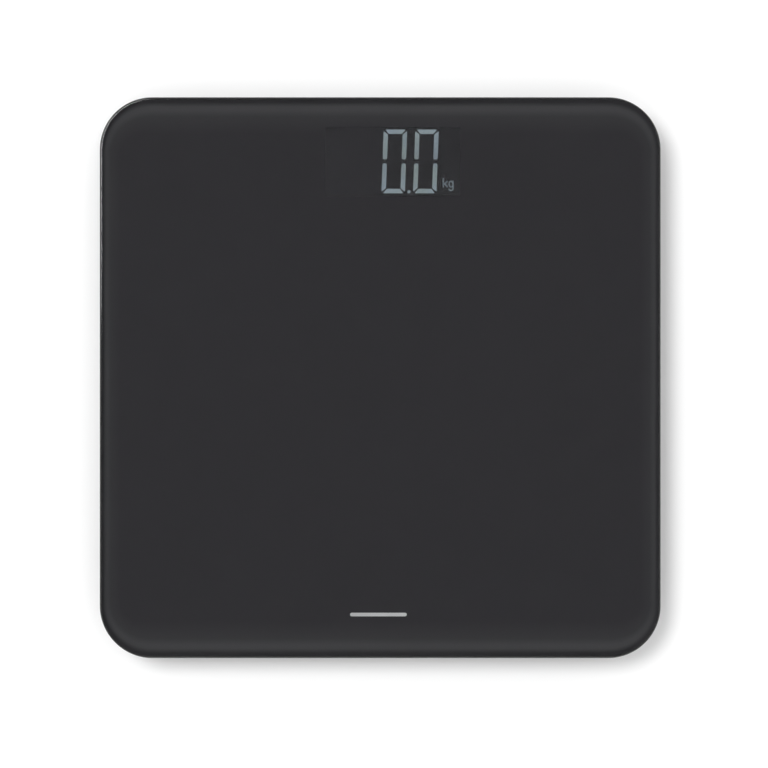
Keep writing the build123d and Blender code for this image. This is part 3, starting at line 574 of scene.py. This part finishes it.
def plate_outline(inset, z):
    """The rounded square of the plate, moved in by inset, as points in order."""
    half = GLASS_HIGH.x - inset
    return [(x, y, z) for x, y in rounded_outline(half, half, PLATE_R - inset, CORNER_STEPS)]


def quarter_round(radius):
    """(inset, drop) from the flat face to the wall, round a quarter circle."""
    steps = [math.pi / 2 * step / EDGE_STEPS for step in range(EDGE_STEPS + 1)]
    return [(radius * (1 - math.sin(angle)), radius * (1 - math.cos(angle))) for angle in steps]


def edge_profile():
    """(inset, z) down the ground edge, from the flat top to the flat underside."""
    low, high = GLASS_LOW.z - BOND, GLASS_HIGH.z
    profile = [(EDGE_R + EDGE_FLAT, high)]
    profile += [(inset, high - drop) for inset, drop in quarter_round(EDGE_R)]
    profile += [(inset, low + drop) for inset, drop in reversed(quarter_round(EDGE_LOW_R))]
    profile.append((EDGE_LOW_R + EDGE_FLAT, low))
    return profile


def make_glass():
    mesh = bpy.data.meshes.new("glass_plate")
    shape = bmesh.new()
    rings = [[shape.verts.new(p) for p in plate_outline(inset, z)] for inset, z in edge_profile()]
    count = len(rings[0])
    for upper, lower in zip(rings, rings[1:]):
        for i in range(count):
            j = (i + 1) % count
            face = shape.faces.new((upper[i], lower[i], lower[j], upper[j]))
            flat = upper is rings[0] or lower is rings[-1]
            face.smooth = not flat
            face.material_index = 0 if flat else 1
    shape.faces.new(rings[0])
    shape.faces.new(list(reversed(rings[-1])))
    bmesh.ops.recalc_face_normals(shape, faces=shape.faces)
    shape.to_mesh(mesh)
    shape.free()
    mesh.materials.append(glass_face())
    mesh.materials.append(glass_edge())
    plate = bpy.data.objects.new("glass_plate", mesh)
    bpy.context.scene.collection.objects.link(plate)
    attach(plate, "root")
    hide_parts("glass_platform")


# ---------------------------------------------------------------- rating label

LABEL_SIZE = (76 * MM, 30 * MM)
LABEL_Y = -62 * MM  # middle of the recess in the bottom cover
LABEL_RECESS = 0.3 * MM
LABEL_T = 0.15 * MM
LABEL_R = 1.5 * MM
LABEL_MARGIN = 1.6 * MM  # from the label's edge to its printed border
LABEL_STEPS = 6


def label_corners():
    """The label's lowest and highest corners. It is stuck to the roof of its recess."""
    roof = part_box("bottom_cover")[0].z + LABEL_RECESS
    half = Vector((LABEL_SIZE[0] / 2, LABEL_SIZE[1] / 2, 0))
    middle = Vector((0, LABEL_Y, roof))
    return middle - half - Vector((0, 0, LABEL_T)), middle + half


def make_label():
    low, high = label_corners()
    outline = rounded_outline(LABEL_SIZE[0] / 2, LABEL_SIZE[1] / 2, LABEL_R, LABEL_STEPS)
    shape = bmesh.new()
    lower = [shape.verts.new((x, y + LABEL_Y, low.z)) for x, y in outline]
    upper = [shape.verts.new((x, y + LABEL_Y, high.z)) for x, y in outline]
    shape.faces.new(list(reversed(lower)))
    shape.faces.new(upper)
    for i in range(len(outline)):
        j = (i + 1) % len(outline)
        shape.faces.new((lower[i], lower[j], upper[j], upper[i]))
    mesh = bpy.data.meshes.new("rating_label")
    shape.to_mesh(mesh)
    shape.free()
    mesh.materials.append(label_foil())
    label = bpy.data.objects.new("rating_label", mesh)
    bpy.context.scene.collection.objects.link(label)
    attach(label, "root")


# ---------------------------------------------------------------- the scene

LOOKS = {
    "tempered_glass": glass_face,
    "ceramic_ink": ceramic_ink,
    "window_ink": window_ink,
    "mark_ink": mark_ink,
    "foam_tape": foam_tape,
    "housing_plastic": housing_plastic,
    "cover_plastic": cover_plastic,
    "button_plastic": button_plastic,
    "foot_plastic": foot_plastic,
    "foot_rubber": foot_rubber,
    "screw_steel": screw_steel,
    "cell_steel": cell_steel,
    "silicone": silicone,
    "display_glass": display_glass,
    "polariser": polariser,
    "lit_segment": lit_segment,
    "white_plastic": white_plastic,
    "light_guide": light_guide,
    "led": led,
    "connector_rubber": connector_rubber,
    "circuit_board": circuit_board,
    "chip_black": chip_black,
    "crystal_can": crystal_can,
    "ceramic_chip": ceramic_chip,
    "solder": solder,
    "switch_black": switch_black,
    "switch_plunger": switch_plunger,
    "contact_metal": contact_metal,
    "battery_can": battery_can,
    "wire_black": wire_black,
    "wire_red": wire_red,
    "wire_white": wire_white,
}


def dress_nodes():
    """Gives every CAD node the look of its material slot."""
    made = {slot: look() for slot, look in LOOKS.items()}
    for part in frame["record"]["subparts"]:
        mesh = NODES[part["node"]].data
        mesh.materials.clear()
        mesh.materials.append(made[part["material_slot"]])


make_camera()
make_world()
make_key()
make_floor()
make_glass()
make_label()
dress_nodes()
bpy.context.scene.view_settings.view_transform = "Standard"
